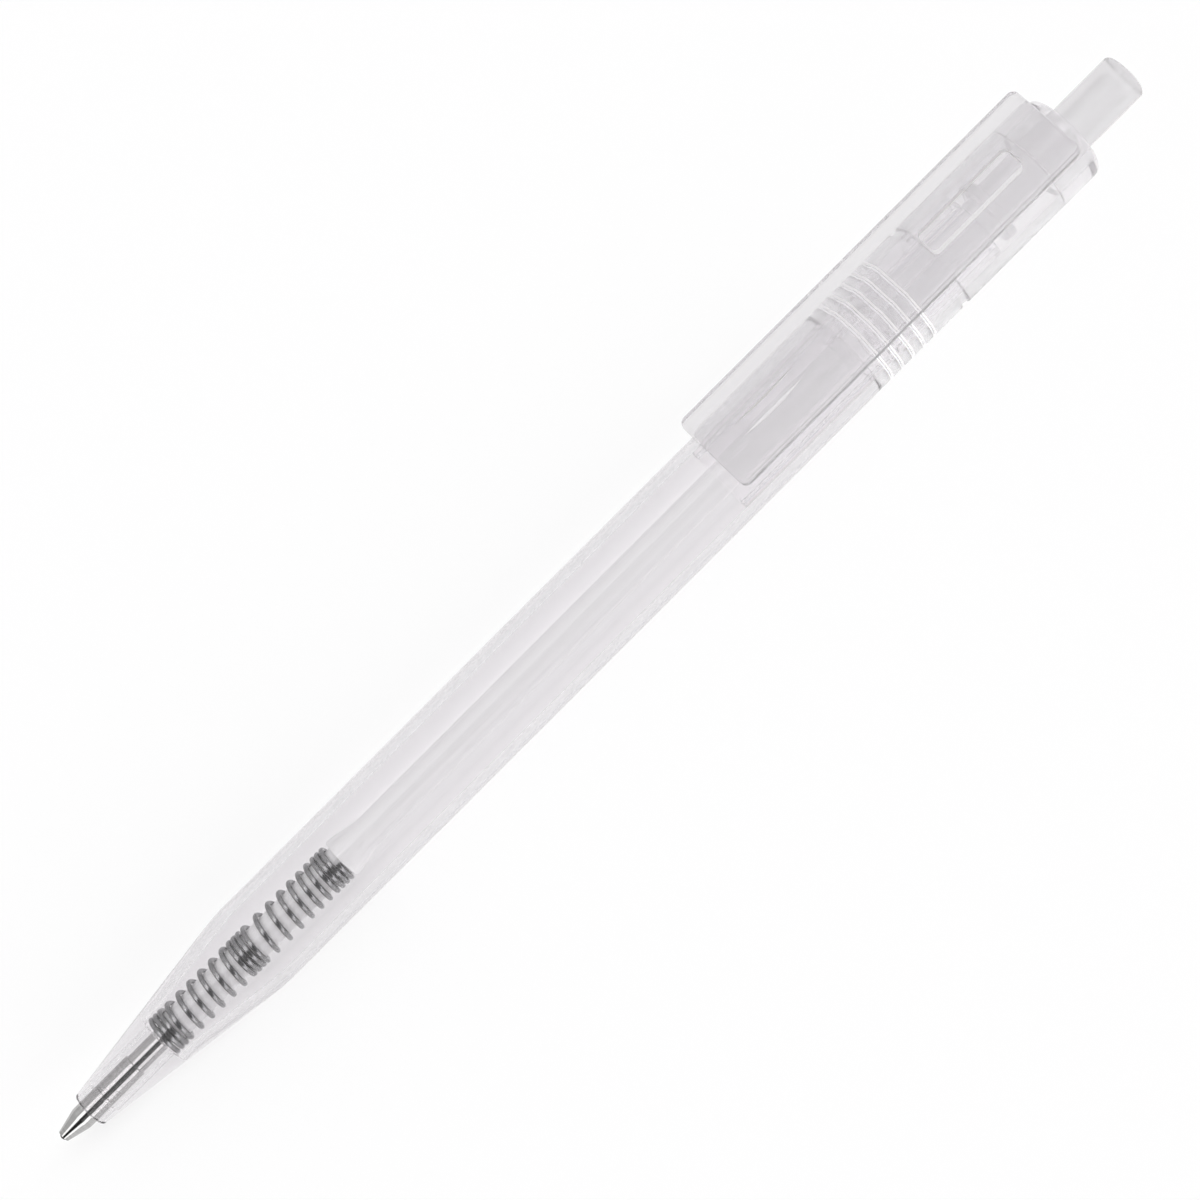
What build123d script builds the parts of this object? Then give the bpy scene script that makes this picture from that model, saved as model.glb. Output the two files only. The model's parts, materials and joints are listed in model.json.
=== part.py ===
from build123d import *
import math
import os

# Clear push-button ballpoint pen, lying along X with its point towards -X and its clip up. Millimetres.
# Stations along the pen are counted from the front face of the nose, towards the button.

# Refill, which the rest is built round
refill_length = 107.0
tube_radius = 1.55
tube_wall = 0.49
tube_front_gap = 0.4
spring_collar_height = 0.6
spring_collar_land = 0.5
spring_collar_taper = 3.0
ink_headspace = 15.8

# Writing point
tip_out = 3.76
tip_radius = 1.215
tip_length = 10.16
tip_cone_length = 2.4
shank_in_tube = 3.9
ink_channel = 0.45
ball_radius = 0.5
socket_lip = 0.24
socket_lip_wall = 0.1

# Return spring
spring_length = 24.0
wire_diameter = 0.5
close_turns_front = 2
open_turns_front = 6
close_turns_middle = 2
open_turns_rear = 7
close_turns_rear = 1
open_pitch_front = 1.4
close_gap = 0.45
spans_per_turn = 4
samples_per_arc = 4

# Barrel
barrel_wall = 1.05
nose_length = 21.5
nose_wall = 0.625
nose_edge = 0.25
shoulder_blend = 22.0
guide_land = 2.0
relief_depth = 0.18
seat_station = 9.9
spring_pocket = 2.1
tail_behind_rim = 1.24
edge_break = 0.12

# Grooved collar
collar_length = 11.8
groove_count = 5
groove_pitch = 1.44
groove_first = 1.4
groove_width = 0.42
groove_depth = 0.2
step_width = 0.9
step_depth = 0.22

# Locating key between housing and collar
locator_angle = 33.6
locator_width = 0.65
locator_length = 0.75
locator_depth = 0.45

# Clip housing
housing_length = 18.0
housing_top_round = 1.1
button_guide_length = 4.9
clip_length = 44.4
clip_width = 9.2
clip_thickness = 1.3
clip_gap = 0.95
clip_top_setback = 1.7
clip_corner = 0.8
clip_edge = 0.4
web_length = 11.7
web_width = 2.55
web_corner = 0.6
rib_length = 7.5
rib_width = 1.45
rib_setback = 3.6
rib_gap = 0.04

# Push button
button_radius = 2.5
button_out = 7.8
button_edge = 0.4
button_cap = 1.3
button_wall = 0.73
button_key_length = 2.5
flange_thickness = 1.0

# Click mechanism
retract_stroke = 5.0
over_press = 1.2
sleeve_wall = 0.75
sleeve_in_barrel = 17.2
guide_rib_height = 0.65
cam_rise = 0.9
key_count = 4
key_width = 1.0
rotor_cup_wall = 0.52
rotor_cup_depth = 2.5
rotor_key_length = 3.0
rotor_key_rise = 2.0
rotor_pin_length = 4.0
tooth_count = 8
tooth_height = 0.7

# Clearances
fit_clearance = 0.05
push_clearance = 0.01
ink_clearance = 0.025
ball_clearance = 0.015
running_clearance = 0.06
slide_clearance = 0.12
spring_side_gap = 0.125
pocket_clearance = 0.18
turning_gap = 0.2
stop_gap = 0.35
flange_side_gap = 0.35
seat_gap = 0.05

# Radii, from the refill outwards
tube_bore = tube_radius - tube_wall
shank_radius = tube_bore - push_clearance
ink_radius = tube_bore - ink_clearance
spring_collar_radius = tube_radius + spring_collar_height
spring_radius = tube_radius + spring_side_gap + wire_diameter
spring_bore = spring_radius + pocket_clearance
cup_radius = tube_radius + running_clearance
plunger_radius = cup_radius + rotor_cup_wall
button_bore = plunger_radius - button_wall
guide_rib_radius = plunger_radius + slide_clearance
sleeve_bore = guide_rib_radius + guide_rib_height
key_radius = sleeve_bore - slide_clearance
sleeve_radius = sleeve_bore + sleeve_wall
barrel_bore = sleeve_radius + fit_clearance
barrel_radius = barrel_bore + barrel_wall
flange_radius = barrel_bore - flange_side_gap
button_hole = button_radius + running_clearance
tip_guide_radius = tip_radius + running_clearance
nose_radius = tip_guide_radius + nose_wall
step_radius = barrel_radius - step_depth
clip_bottom = barrel_radius + clip_gap
clip_top = clip_bottom + clip_thickness

# Stations, from point to button
ball_centre = ball_radius - tip_out
socket_front = ball_centre - socket_lip
tip_step = tip_length - tip_out
tube_start = seat_station + over_press + tube_front_gap
shank_end = tube_start + shank_in_tube
spring_end = seat_station + spring_length
refill_tail = refill_length - tip_out
barrel_length = refill_tail - tail_behind_rim
sleeve_start = barrel_length - sleeve_in_barrel
housing_start = barrel_length + collar_length
housing_end = housing_start + housing_length
guide_start = housing_end - button_guide_length
flange_top = guide_start - retract_stroke - stop_gap
flange_bottom = flange_top - flange_thickness
sleeve_end = flange_bottom - over_press - stop_gap
key_top = refill_tail + rotor_key_rise
guide_rib_start = key_top + turning_gap
crown_tip = guide_rib_start + turning_gap
button_end = housing_end + button_out
clip_end = housing_end - clip_top_setback
clip_start = clip_end - clip_length
overall_length = tip_out + button_end


def turned(*corners):
    """The face between (station, radius) corners, ready to be rounded and turned about the pen's axis."""
    return make_face(Plane.XZ * Polyline(*corners, close=True))


def eased(face, station, radius, size):
    """The turned face with its corner at this station and radius rounded to this size."""
    corner = face.vertices().sort_by_distance(Vector(station, 0, radius))[0]
    return fillet(corner, size)


def around(count, shape, start_angle=0.0):
    """Copies of a shape spaced evenly about the pen's axis."""
    return [Rot(X=start_angle + 360 * i / count) * shape for i in range(count)]


def block(start, end, width, low, high):
    """A box between two stations, centred across the pen, between two heights above the axis."""
    middle = Pos((start + end) / 2, 0, (low + high) / 2)
    return middle * Box(end - start, width, high - low)


def write(name, shape):
    """Writes one piece, moved to the resting frame: centred along X, with the barrel on Z = 0."""
    placed = Pos(tip_out - overall_length / 2, 0, barrel_radius) * shape
    placed.label = name
    export_step(placed, f"parts/{name}.step")


def make_barrel():
    """Clear tube: straight bore, tapered nose, spring pocket and the guide hole for the point."""
    relief_radius = tip_guide_radius + relief_depth
    pocket_end = seat_station + spring_pocket
    face = turned(
        (0, tip_guide_radius),
        (0, nose_radius),
        (nose_length, barrel_radius),
        (barrel_length - edge_break, barrel_radius),
        (barrel_length, barrel_radius - edge_break),
        (barrel_length, barrel_bore),
        (nose_length + barrel_wall, barrel_bore),
        (pocket_end, spring_bore),
        (seat_station, spring_bore),
        (seat_station, relief_radius),
        (guide_land, relief_radius),
        (guide_land, tip_guide_radius),
    )
    face = eased(face, 0, nose_radius, nose_edge)
    face = eased(face, nose_length, barrel_radius, shoulder_blend)
    return revolve(face, Axis.X)


def make_collar():
    """Clear ring over the sleeve, with evenly spaced grooves, a step at its rear and the locating notch."""
    step_start = housing_start - step_width
    ring = revolve(
        turned(
            (barrel_length, barrel_bore),
            (barrel_length, barrel_radius - edge_break),
            (barrel_length + edge_break, barrel_radius),
            (step_start, barrel_radius),
            (step_start, step_radius),
            (housing_start, step_radius),
            (housing_start, barrel_bore),
        ),
        Axis.X,
    )
    for i in range(groove_count):
        middle = barrel_length + groove_first + groove_pitch * i
        groove = turned(
            (middle - groove_width / 2, barrel_radius + groove_depth),
            (middle - groove_width / 2, barrel_radius),
            (middle, barrel_radius - groove_depth),
            (middle + groove_width / 2, barrel_radius),
            (middle + groove_width / 2, barrel_radius + groove_depth),
        )
        ring -= revolve(groove, Axis.X)
    return ring - locator(fit_clearance)


def locator(clearance):
    """The small key that keeps the housing in line, grown by a clearance for the notch that takes it."""
    key = block(
        housing_start - locator_length - clearance,
        housing_start + locator_length,
        locator_width + 2 * clearance,
        step_radius - locator_depth - clearance,
        step_radius - fit_clearance + 2 * clearance,
    )
    return Rot(X=-locator_angle) * key


def make_clip_housing():
    """Clear rear sleeve with its button guide, and the flat pocket clip with its web and gripping rib."""
    face = turned(
        (housing_start, barrel_bore),
        (housing_start, barrel_radius - edge_break),
        (housing_start + edge_break, barrel_radius),
        (housing_end, barrel_radius),
        (housing_end, button_hole),
        (guide_start, button_hole),
        (guide_start, barrel_bore),
    )
    sleeve = revolve(eased(face, housing_end, barrel_radius, housing_top_round), Axis.X)

    clip = block(clip_start, clip_end, clip_width, clip_bottom, clip_top)
    clip = fillet(clip.edges().filter_by(Axis.Z), clip_corner)
    clip_round = min(clip_edge, 0.45 * clip_thickness)
    clip = fillet(clip.faces().sort_by(Axis.Z)[-1].edges(), clip_round)
    clip = fillet(clip.faces().sort_by(Axis.Z)[0].edges(), clip_round)
    clip_middle = (clip_bottom + clip_top) / 2

    web_end = housing_start + web_length
    web_root = barrel_radius - barrel_wall / 2
    web = block(housing_start, web_end, web_width, web_root, clip_middle)
    web = fillet(web.edges().filter_by(Axis.Z), min(web_corner, 0.45 * web_width))

    rib_start = clip_start + rib_setback
    rib_end = rib_start + rib_length
    rib_low = barrel_radius + rib_gap
    rib_bow = ThreePointArc(
        (rib_start, clip_bottom),
        ((rib_start + rib_end) / 2, rib_low),
        (rib_end, clip_bottom),
    )
    rib_root = Polyline(
        (rib_end, clip_bottom),
        (rib_end, clip_middle),
        (rib_start, clip_middle),
        (rib_start, clip_bottom),
    )
    rib = extrude(make_face(Plane.XZ * (rib_bow + rib_root)), rib_width / 2, both=True)
    return sleeve + clip + web + rib + locator(0)


def make_guide_sleeve():
    """Clear inner tube that joins barrel, collar and housing, with the guide ribs for button and rotor."""
    tube = revolve(
        turned(
            (sleeve_start, sleeve_bore),
            (sleeve_start, sleeve_radius),
            (sleeve_end, sleeve_radius),
            (sleeve_end, guide_rib_radius),
            (guide_rib_start, guide_rib_radius),
            (guide_rib_start, sleeve_bore),
        ),
        Axis.X,
    )
    inside = revolve(
        turned(
            (sleeve_start, 0),
            (sleeve_start, sleeve_bore),
            (sleeve_end, sleeve_bore),
            (sleeve_end, 0),
        ),
        Axis.X,
    )
    slot_width = key_width + 2 * slide_clearance
    slot = block(guide_rib_start, sleeve_end, slot_width, 0, sleeve_bore) & inside
    saw = saw_end() & inside
    return tube - around(key_count, slot) - around(key_count, saw, 180 / key_count)


def cam_half_width():
    """Half the width, across the pen, of one guide rib with half a slot on each side."""
    return sleeve_bore * math.sin(math.pi / key_count)


def saw_end():
    """Cut that gives a guide rib's front end two slopes, with a stop between them for a rotor key."""
    half = cam_half_width()
    low = plunger_radius * math.cos(math.pi / key_count)
    outline = Plane.XY * Polyline(
        (guide_rib_start, -half),
        (guide_rib_start + cam_rise, 0),
        (guide_rib_start, 0),
        (guide_rib_start + cam_rise, half),
        (guide_rib_start - turning_gap, half),
        (guide_rib_start - turning_gap, -half),
        close=True,
    )
    return Pos(0, 0, low) * extrude(make_face(outline), sleeve_bore - low)


def crown_notch(station, direction):
    """One V notch between two crown teeth, cut radially; its mouth is at the station."""
    half = math.pi * plunger_radius / tooth_count
    notch = Plane.XY * Polyline(
        (station - direction * tooth_height, -half * 2),
        (station, -half),
        (station + direction * tooth_height, 0),
        (station, half),
        (station - direction * tooth_height, half * 2),
        close=True,
    )
    return extrude(make_face(notch), key_radius)


def make_push_button():
    """Clear hollow plunger: round top, the flange that keeps it in, guide keys and toothed crown."""
    face = turned(
        (crown_tip, button_bore),
        (crown_tip, plunger_radius),
        (flange_bottom, plunger_radius),
        (flange_bottom, flange_radius),
        (flange_top, flange_radius),
        (flange_top, button_radius),
        (button_end, button_radius),
        (button_end, 0),
        (button_end - button_cap, 0),
        (button_end - button_cap, button_bore),
    )
    body = revolve(eased(face, button_end, button_radius, button_edge), Axis.X)
    key_start = crown_tip + 2 * tooth_height
    key_root = plunger_radius - button_wall / 2
    key = block(key_start, key_start + button_key_length, key_width, key_root, key_radius)
    body += around(key_count, key)
    return body - around(tooth_count, crown_notch(crown_tip, 1))


def make_cam_rotor():
    """Cam that turns on the refill's tail: cup, keys with slanted tops, toothed ring and centre pin."""
    body = revolve(
        turned(
            (refill_tail - rotor_cup_depth, cup_radius),
            (refill_tail - rotor_cup_depth, plunger_radius),
            (guide_rib_start, plunger_radius),
            (guide_rib_start, 0),
            (refill_tail + seat_gap, 0),
            (refill_tail + seat_gap, cup_radius),
        ),
        Axis.X,
    )
    body -= around(tooth_count, crown_notch(guide_rib_start, -1))
    pin_radius = button_bore - running_clearance
    pin_root = refill_tail + rotor_key_rise / 2
    pin_end = guide_rib_start + rotor_pin_length
    body += revolve(
        turned((pin_root, 0), (pin_root, pin_radius), (pin_end, pin_radius), (pin_end, 0)),
        Axis.X,
    )
    drop = cam_rise * key_width / cam_half_width()
    outline = Plane.XY * Polyline(
        (key_top - rotor_key_length, -key_width / 2),
        (key_top - drop, -key_width / 2),
        (key_top, key_width / 2),
        (key_top - rotor_key_length, key_width / 2),
        close=True,
    )
    key_root = plunger_radius - rotor_cup_wall / 2
    key = Pos(0, 0, key_root) * extrude(make_face(outline), key_radius - key_root)
    return body + around(key_count, key)


def make_refill_tube():
    """Milky plastic tube, open at its tail, with the collar that the spring pushes on."""
    collar_front = spring_end + seat_gap
    land_end = collar_front + spring_collar_land
    return revolve(
        turned(
            (tube_start, tube_bore),
            (tube_start, tube_radius),
            (collar_front, tube_radius),
            (collar_front, spring_collar_radius),
            (land_end, spring_collar_radius),
            (land_end + spring_collar_taper, tube_radius),
            (refill_tail, tube_radius),
            (refill_tail, tube_bore),
        ),
        Axis.X,
    )


def make_ink_column():
    """Ink paste that fills the tube behind the point's shank."""
    ink_start = shank_end + seat_gap
    ink_end = refill_tail - ink_headspace
    return revolve(
        turned((ink_start, 0), (ink_start, ink_radius), (ink_end, ink_radius), (ink_end, 0)),
        Axis.X,
    )


def make_tip_socket():
    """Turned metal point: lip over the ball, cone, straight front, thinner shank and the ink channel."""
    pocket_radius = ball_radius + ball_clearance
    lip_radius = pocket_radius + socket_lip_wall
    cone_end = socket_front + tip_cone_length
    solid = revolve(
        turned(
            (socket_front, 0),
            (socket_front, lip_radius),
            (cone_end, tip_radius),
            (tip_step, tip_radius),
            (tip_step, shank_radius),
            (shank_end, shank_radius),
            (shank_end, 0),
        ),
        Axis.X,
    )
    channel = revolve(
        turned((ball_centre, 0), (ball_centre, ink_channel), (shank_end, ink_channel), (shank_end, 0)),
        Axis.X,
    )
    return solid - channel - Pos(ball_centre, 0, 0) * Sphere(pocket_radius)


def make_writing_ball():
    """Ball that rolls in the point."""
    return Pos(ball_centre, 0, 0) * Sphere(ball_radius)


def spring_pitches():
    """The pitch of each turn, front to rear: close end turns, open turns, close middle turns and so on."""
    close_pitch = wire_diameter + close_gap
    close_turns = close_turns_front + close_turns_middle + close_turns_rear
    taken = close_turns * close_pitch + open_turns_front * open_pitch_front
    coil_length = spring_length - wire_diameter - 2 * seat_gap
    open_pitch_rear = (coil_length - taken) / open_turns_rear
    return (
        [close_pitch] * close_turns_front
        + [open_pitch_front] * open_turns_front
        + [close_pitch] * close_turns_middle
        + [open_pitch_rear] * open_turns_rear
        + [close_pitch] * close_turns_rear
    )


def make_return_spring():
    """Left-hand spring of round wire, swept along two tangent arcs for each quarter turn."""
    pitches = spring_pitches()
    coil_radius = spring_radius - wire_diameter / 2
    station = seat_station + seat_gap + wire_diameter / 2
    rises = [pitch / spans_per_turn for pitch in pitches for _ in range(spans_per_turn)]
    slopes = [0.0] + [(a + b) / 2 for a, b in zip(rises, rises[1:])] + [0.0]
    around_step = coil_radius * math.tau / spans_per_turn
    points = []
    tangents = []
    for i in range(len(rises) + 1):
        angle = -math.tau * i / spans_per_turn
        points.append(Vector(station, coil_radius * math.cos(angle), coil_radius * math.sin(angle)))
        tangent = Vector(slopes[i], around_step * math.sin(angle), -around_step * math.cos(angle))
        tangents.append(tangent.normalized())
        station += rises[i] if i < len(rises) else 0
    edges = [Edge.make_line(points[0] - tangents[0] * wire_diameter, points[0])]
    for i in range(len(rises)):
        edges += two_arcs(points[i], tangents[i], points[i + 1], tangents[i + 1])
    edges.append(Edge.make_line(points[-1], points[-1] + tangents[-1] * wire_diameter))
    path = Wire(edges)
    print(f"spring: {len(pitches)} turns, least gap to itself {least_gap(edges):.3f} mm")
    section = Plane(path @ 0, z_dir=path % 0) * Circle(wire_diameter / 2)
    return sweep(section, path)


def two_arcs(start, start_way, end, end_way):
    """Two circular arcs that leave start and reach end along the given directions and share a tangent."""
    chord = end - start
    both = start_way + end_way
    bend = 2 * (1 - start_way.dot(end_way))
    reach = (math.sqrt(chord.dot(both) ** 2 + bend * chord.dot(chord)) - chord.dot(both)) / bend
    first = start + start_way * reach
    second = end - end_way * reach
    joint = (first + second) * 0.5
    return [
        Edge.make_tangent_arc(start, start_way, joint),
        Edge.make_tangent_arc(joint, second - first, end),
    ]


def least_gap(edges):
    """The least gap between the wire and itself, on points along its arcs at least half a turn apart."""
    samples = [edge @ (i / samples_per_arc) for edge in edges for i in range(samples_per_arc)]
    half_turn = spans_per_turn * samples_per_arc
    two_turns = 4 * half_turn
    nearest = min(
        (samples[j] - samples[i]).length
        for i in range(len(samples))
        for j in range(i + half_turn, min(i + two_turns, len(samples)))
    )
    return nearest - wire_diameter


os.makedirs("parts", exist_ok=True)
write("barrel", make_barrel())
write("grooved_collar", make_collar())
write("clip_housing", make_clip_housing())
write("guide_sleeve", make_guide_sleeve())
write("push_button", make_push_button())
write("cam_rotor", make_cam_rotor())
write("refill_tube", make_refill_tube())
write("ink_column", make_ink_column())
write("tip_socket", make_tip_socket())
write("writing_ball", make_writing_ball())
write("return_spring", make_return_spring())
print(f"overall length {overall_length:.2f} mm")
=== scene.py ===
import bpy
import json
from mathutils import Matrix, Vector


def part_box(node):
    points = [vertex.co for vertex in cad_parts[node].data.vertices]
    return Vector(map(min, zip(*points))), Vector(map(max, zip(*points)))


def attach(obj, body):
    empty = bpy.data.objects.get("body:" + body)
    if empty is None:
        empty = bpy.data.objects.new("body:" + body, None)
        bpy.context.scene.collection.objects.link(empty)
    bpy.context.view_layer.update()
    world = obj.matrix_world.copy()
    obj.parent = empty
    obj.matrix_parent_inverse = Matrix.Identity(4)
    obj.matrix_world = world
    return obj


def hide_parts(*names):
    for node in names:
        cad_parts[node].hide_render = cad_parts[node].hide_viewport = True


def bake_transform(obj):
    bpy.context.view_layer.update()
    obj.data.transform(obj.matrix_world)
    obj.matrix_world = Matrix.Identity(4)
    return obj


bl_info = {
    "name": "Clear push-button pen",
    "version": (1, 0, 0),
    "blender": (4, 5, 0),
    "location": "3D View > Sidebar > Pen",
    "description": "Builds a clear push-button ballpoint pen, piece by piece, round its packed frame",
    "category": "Object",
}

import json
import math

import bmesh
import bpy
import numpy as np
from bpy.props import FloatProperty, FloatVectorProperty, IntProperty, PointerProperty
from bpy.types import Operator, Panel, PropertyGroup
from mathutils import Matrix, Vector

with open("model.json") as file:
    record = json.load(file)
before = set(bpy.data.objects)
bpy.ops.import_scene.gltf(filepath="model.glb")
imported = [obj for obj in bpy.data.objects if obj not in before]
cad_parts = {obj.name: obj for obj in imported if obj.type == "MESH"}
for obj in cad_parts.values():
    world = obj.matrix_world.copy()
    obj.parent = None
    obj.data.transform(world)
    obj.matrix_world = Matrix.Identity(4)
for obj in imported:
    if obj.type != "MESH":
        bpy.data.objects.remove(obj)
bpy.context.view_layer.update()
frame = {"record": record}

MM = 0.001

# The pen's axis runs along X. Stations are counted from the nose's front face, as in the frame's nodes.
NOSE_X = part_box("barrel")[0].x
AXIS_Z = (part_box("barrel")[0].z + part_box("barrel")[1].z) / 2

# How finely the surfaces are divided.
SEGMENTS = 144  # round the pen
ARC_STEP = math.radians(7.5)  # angle of one step on a rounded corner
ARC_LEAST = 3  # fewest steps on one
EDGE_LOOPS = 7  # loops on a plate's rounded edge
BOW_POINTS = 33  # points on the gripping rib's bow
INK_POINTS = 17  # points on the ink's hollow surface, from wall to axis
SEAT_POINTS = 25  # points on the ball's seat, from lip to channel
BALL_POINTS = 49  # points on the ball, from pole to pole
WIRE_STEPS = 40  # steps on one turn of the spring
WIRE_SIDES = 16  # sides of its wire

SMOOTH_BELOW = math.radians(32)  # angle between two faces up to which their edge is shaded smooth
FLAT = 0.01 * MM  # how far from a plane a face may lie and still count as on it
OVERRUN = MM  # how far a cutter reaches past the ends of what it cuts
CUTTER_FOOT = 0.9  # share of the guide ribs' inner radius at which their cutters start
SLIVER = 0.002 * MM  # what those cutters leave on the bore, so that no two faces coincide
NOISE_RANGE = (0.3, 0.7)  # where most values of a noise lie
LINE_SHADE = 0.8  # brightness of a tool line in metal, as a share of the metal's


def span(node):
    """First and last station of a CAD node, and its largest radius across the pen."""
    low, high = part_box(node)
    return low.x - NOSE_X, high.x - NOSE_X, (high.y - low.y) / 2


def length(name, description, default):
    """A settable length, with its default in millimetres."""
    return FloatProperty(
        name=name, description=description, default=default * MM, unit="LENGTH", precision=5)


def number(name, description, default, unit="NONE"):
    """A settable number."""
    return FloatProperty(name=name, description=description, default=default, unit=unit)


def degrees(name, description, default):
    """A settable angle, with its default in degrees."""
    return FloatProperty(name=name, description=description, default=math.radians(default), subtype="ANGLE")


def share(name, description, default):
    """A settable number between nought and one."""
    return FloatProperty(name=name, description=description, default=default, min=0, max=1, subtype="FACTOR")


def colour(name, description, default):
    """A settable linear colour."""
    return FloatVectorProperty(
        name=name, description=description, default=default, min=0, max=1, subtype="COLOR")


def count(name, description, default):
    """A settable whole number."""
    return IntProperty(name=name, description=description, default=default, min=1)


class PEN_PG_barrel(PropertyGroup):
    """Sizes of the clear front tube."""

    wall: length("Wall", "Thickness of the straight tube's wall", 1.05)
    nose_length: length("Nose length", "Length of the tapered nose", 21.5)
    nose_radius: length("Nose radius", "Radius of the nose's front face", 1.9)
    nose_edge: length("Nose edge", "Rounding of the nose's front edge", 0.25)
    shoulder: length("Shoulder", "Radius that blends the nose into the straight tube", 22)
    tip_hole: length("Tip hole", "Radius of the hole that guides the point", 1.275)
    tip_land: length("Tip land", "Length of that hole", 2)
    relief: length("Relief", "Radius of the wider bore behind the hole", 1.455)
    seat: length("Spring seat", "Station of the shoulder that the spring rests on", 9.9)
    pocket: length("Spring pocket", "Radius of the bore round the spring's front end", 2.355)
    pocket_length: length("Pocket length", "Length of that bore", 2.1)
    edge: length("Edge", "Rounding of the rear rim's edges, and of small edges on other pieces", 0.12)


class PEN_PG_collar(PropertyGroup):
    """Sizes of the grooved ring between barrel and housing."""

    grooves: count("Grooves", "Number of grooves", 5)
    pitch: length("Pitch", "Distance from groove to groove", 1.44)
    first: length("First groove", "Distance from the front edge to the first groove", 1.4)
    groove_width: length("Groove width", "Width of a groove's mouth", 0.42)
    groove_depth: length("Groove depth", "Depth of a groove", 0.2)
    step_width: length("Step width", "Width of the lowered rear band", 0.9)
    step_depth: length("Step depth", "Depth of that band", 0.22)
    # Painted highlight: the band of a groove's sides that is painted pale for their glints lies between these
    # two shares.
    glint_from: share("Matt from", "Share of a groove's depth at which its matt sides start", 0.02)
    glint_to: share("Matt to", "Share of a groove's depth at which its matt sides end", 0.7)
    key_angle: degrees("Key angle", "Angle of the locating key from the clip", 33.6)
    key_width: length("Key width", "Width of the locating key", 0.65)
    key_length: length("Key length", "How far the key reaches into the collar", 0.75)
    key_depth: length("Key depth", "Depth of the key below the lowered band", 0.45)
    key_sink: length("Key sink", "How far the key's top lies below that band", 0.05)
    notch_gap: length("Notch gap", "Clearance round the key in its notch", 0.05)


class PEN_PG_housing(PropertyGroup):
    """Sizes of the clear rear sleeve and its pocket clip."""

    top_round: length("Top rounding", "Rounding of the rear end", 1.1)
    guide_length: length("Button guide", "Length of the hole that guides the button", 4.9)
    hole_gap: length("Hole gap", "Clearance round the button in that hole", 0.06)
    clip_setback: length("Clip setback", "Distance from the rear end to the clip", 1.7)
    clip_width: length("Clip width", "Width of the clip", 9.2)
    clip_thickness: length("Clip thickness", "Thickness of the clip", 1.3)
    clip_corner: length("Clip corner", "Rounding of the clip's four corners", 0.8)
    clip_edge: length("Clip edge", "Rounding of the clip's upper and lower edges", 0.4)
    web_length: length("Web length", "Length of the web that carries the clip", 11.7)
    web_width: length("Web width", "Width of that web", 2.55)
    web_corner: length("Web corner", "Rounding of the web's corners", 0.6)
    rib_setback: length("Rib setback", "Distance from the clip's front end to its gripping rib", 3.6)
    rib_length: length("Rib length", "Length of the gripping rib", 7.5)
    rib_width: length("Rib width", "Width of the gripping rib", 1.45)
    rib_gap: length("Rib gap", "Gap between the rib and the barrel", 0.04)


class PEN_PG_mechanism(PropertyGroup):
    """Sizes of the button, the guide sleeve and the cam rotor."""

    button_radius: length("Button radius", "Radius of the button's top", 2.5)
    button_edge: length("Button edge", "Rounding of the button's top edge", 0.4)
    button_cap: length("Button cap", "Thickness of the button's closed end", 1.3)
    button_wall: length("Button wall", "Wall of the hollow plunger", 0.73)
    plunger_radius: length("Plunger radius", "Radius of the plunger below the flange", 2.13)
    flange_start: length("Flange start", "Station of the flange that keeps the button in", 120.55)
    flange_thickness: length("Flange thickness", "Thickness of that flange", 1)
    sleeve_wall: length("Sleeve wall", "Wall of the guide sleeve", 0.75)
    rib_height: length("Rib height", "Height of the guide ribs", 0.65)
    rib_start: length("Rib start", "Station where the guide ribs start", 105.44)
    cam_rise: length("Cam rise", "Rise of each slope on the ribs' front ends", 0.9)
    keys: count("Keys", "Number of keys on the button and on the rotor", 4)
    key_width: length("Key width", "Width of a key", 1)
    slot_width: length("Slot width", "Width of the slots that the keys run in", 1.24)
    key_radius: length("Key radius", "Radius out to which the keys reach", 2.78)
    button_key_length: length("Button key length", "Length of the button's keys", 2.5)
    rotor_key_length: length("Rotor key length", "Length of the rotor's keys", 3)
    key_clearance: length("Key clearance", "Gap from the ribs' front ends to rotor keys and crown", 0.2)
    teeth: count("Teeth", "Number of crown teeth", 8)
    tooth_height: length("Tooth height", "Height of a crown tooth", 0.7)
    pin_radius: length("Pin radius", "Radius of the rotor's centre pin", 1.34)
    pin_length: length("Pin length", "Length of the rotor's centre pin", 4)
    pin_root: length("Pin root", "Distance from the cup's floor to the pin's root in the rotor", 1)
    cup_radius: length("Cup radius", "Radius of the rotor's cup for the refill", 1.61)
    cup_gap: length("Cup gap", "Clearance between the refill's tail and the cup's floor", 0.05)


class PEN_PG_refill(PropertyGroup):
    """Sizes of the refill with its writing point."""

    tube_radius: length("Tube radius", "Outer radius of the ink tube", 1.55)
    tube_wall: length("Tube wall", "Wall of the ink tube", 0.49)
    collar_start: length("Collar start", "Station of the collar that the spring pushes on", 33.95)
    collar_land: length("Collar land", "Length of the collar's straight part", 0.5)
    collar_taper: length("Collar taper", "Length of the collar's taper", 3)
    taper_round: length("Taper rounding", "Radius that blends the taper into the tube", 1)
    meniscus: length("Meniscus", "How far the ink climbs at the tube's wall", 0.6)
    cone_length: length("Cone length", "Length of the point's cone", 2.4)
    cone_round: length("Cone rounding", "Radius that blends the cone into the point's body", 1.5)
    lip_wall: length("Lip wall", "Wall of the point's lip round the ball", 0.1)
    ball_gap: length("Ball gap", "Clearance between ball and socket", 0.015)
    step: length("Step", "Station where the point narrows to its shank", 6.4)
    shank_radius: length("Shank radius", "Radius of the shank in the tube", 1.05)
    channel: length("Ink channel", "Radius of the ink channel", 0.45)
    ring_groove: length("Ring groove", "Depth of the turned ring on the point", 0.05)
    ring_station: length("Ring station", "Station of that ring", 2.3)


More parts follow.
